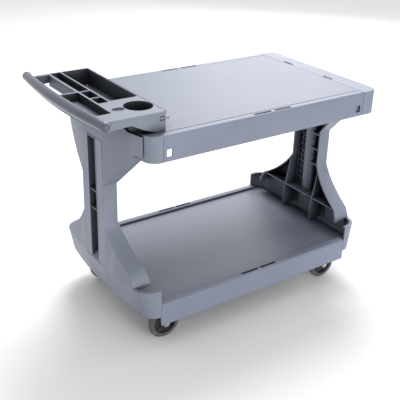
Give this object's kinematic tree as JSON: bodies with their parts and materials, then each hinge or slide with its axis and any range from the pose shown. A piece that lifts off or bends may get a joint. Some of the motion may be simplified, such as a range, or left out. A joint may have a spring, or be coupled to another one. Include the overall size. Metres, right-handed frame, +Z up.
{
  "type": "rolling utility cart",
  "caption": "Moulded utility cart with two flat decks, sliding edge panels that rise into lips, a handle tray with bins and cup holder, and swivel and rigid casters.",
  "frame": {"origin": "on the floor under the middle of the cart's outer box", "axes": "+X away from the handle along the cart, +Y to the far side, +Z up"},
  "size_m": [1.239, 0.65, 0.9395],
  "materials": {
    "shell": "blue-grey structural foam with a fine moulded grain",
    "panel": "blue-grey moulded plastic, slightly lighter",
    "grip": "smooth, slightly glossy grip",
    "steel": "bright zinc plate",
    "dark_part": "black moulded plastic",
    "tyre": "dark grey rubber tread"
  },
  "bodies": {
    "cart": {"handle_end_frame": "shell", "far_end_frame": "shell", "top_shelf": "shell", "bottom_shelf": "shell", "top_near_catch_1": "dark_part", "top_near_catch_2": "dark_part", "top_far_catch_1": "dark_part", "top_far_catch_2": "dark_part", "bottom_near_catch_1": "dark_part", "bottom_near_catch_2": "dark_part", "bottom_far_catch_1": "dark_part", "bottom_far_catch_2": "dark_part", "top_end_catch_1": "dark_part", "top_end_catch_2": "dark_part", "handle_bar": "grip", "handle_tray": "shell", "tray_hook_near": "shell", "tray_hook_far": "shell", "tray_screw_1": "steel", "tray_screw_2": "steel", "tray_screw_3": "steel", "tray_screw_4": "steel", "swivel_plate_near": "steel", "swivel_race_near": "steel", "swivel_kingpin_near": "steel", "rigid_bracket_near": "steel", "rigid_near_axle_bolt": "steel", "rigid_near_axle_nut": "steel", "swivel_plate_far": "steel", "swivel_race_far": "steel", "swivel_kingpin_far": "steel", "rigid_bracket_far": "steel", "rigid_far_axle_bolt": "steel", "rigid_far_axle_nut": "steel"},
    "top_near_panel": {"top_near_panel": "panel"},
    "top_far_panel": {"top_far_panel": "panel"},
    "top_end_panel": {"top_end_panel": "panel", "end_hook_near": "panel", "end_hook_far": "panel"},
    "bottom_near_panel": {"bottom_near_panel": "panel"},
    "bottom_far_panel": {"bottom_far_panel": "panel"},
    "swivel_caster_near": {"swivel_fork_near": "steel", "swivel_near_axle_bolt": "steel", "swivel_near_axle_nut": "steel"},
    "swivel_wheel_near": {"swivel_near_tyre": "tyre", "swivel_near_hub": "dark_part"},
    "rigid_wheel_near": {"rigid_near_tyre": "tyre", "rigid_near_hub": "dark_part"},
    "swivel_caster_far": {"swivel_fork_far": "steel", "swivel_far_axle_bolt": "steel", "swivel_far_axle_nut": "steel"},
    "swivel_wheel_far": {"swivel_far_tyre": "tyre", "swivel_far_hub": "dark_part"},
    "rigid_wheel_far": {"rigid_far_tyre": "tyre", "rigid_far_hub": "dark_part"}
  },
  "joints": [
    {"name": "top_near_panel_lift", "type": "slide", "parent": "cart", "child": "top_near_panel", "axis": [0, 0, 1], "range_m": [0, 0.066]},
    {"name": "top_far_panel_lift", "type": "slide", "parent": "cart", "child": "top_far_panel", "axis": [0, 0, 1], "range_m": [0, 0.066]},
    {"name": "top_end_panel_lift", "type": "slide", "parent": "cart", "child": "top_end_panel", "axis": [0, 0, 1], "range_m": [0, 0.066]},
    {"name": "bottom_near_panel_lift", "type": "slide", "parent": "cart", "child": "bottom_near_panel", "axis": [0, 0, 1], "range_m": [0, 0.058]},
    {"name": "bottom_far_panel_lift", "type": "slide", "parent": "cart", "child": "bottom_far_panel", "axis": [0, 0, 1], "range_m": [0, 0.058]},
    {"name": "swivel_near", "type": "hinge", "parent": "cart", "child": "swivel_caster_near", "pos_m": [-0.2945, -0.245, 0.14], "axis": [0, 0, 1], "continuous": true},
    {"name": "swivel_wheel_near_spin", "type": "hinge", "parent": "swivel_caster_near", "child": "swivel_wheel_near", "pos_m": [-0.3245, -0.245, 0.0635], "axis": [0, 1, 0], "continuous": true},
    {"name": "rigid_wheel_near_spin", "type": "hinge", "parent": "cart", "child": "rigid_wheel_near", "pos_m": [0.4805, -0.245, 0.0635], "axis": [0, 1, 0], "continuous": true},
    {"name": "swivel_far", "type": "hinge", "parent": "cart", "child": "swivel_caster_far", "pos_m": [-0.2945, 0.245, 0.14], "axis": [0, 0, 1], "continuous": true},
    {"name": "swivel_wheel_far_spin", "type": "hinge", "parent": "swivel_caster_far", "child": "swivel_wheel_far", "pos_m": [-0.3245, 0.245, 0.0635], "axis": [0, 1, 0], "continuous": true},
    {"name": "rigid_wheel_far_spin", "type": "hinge", "parent": "cart", "child": "rigid_wheel_far", "pos_m": [0.4805, 0.245, 0.0635], "axis": [0, 1, 0], "continuous": true}
  ]
}
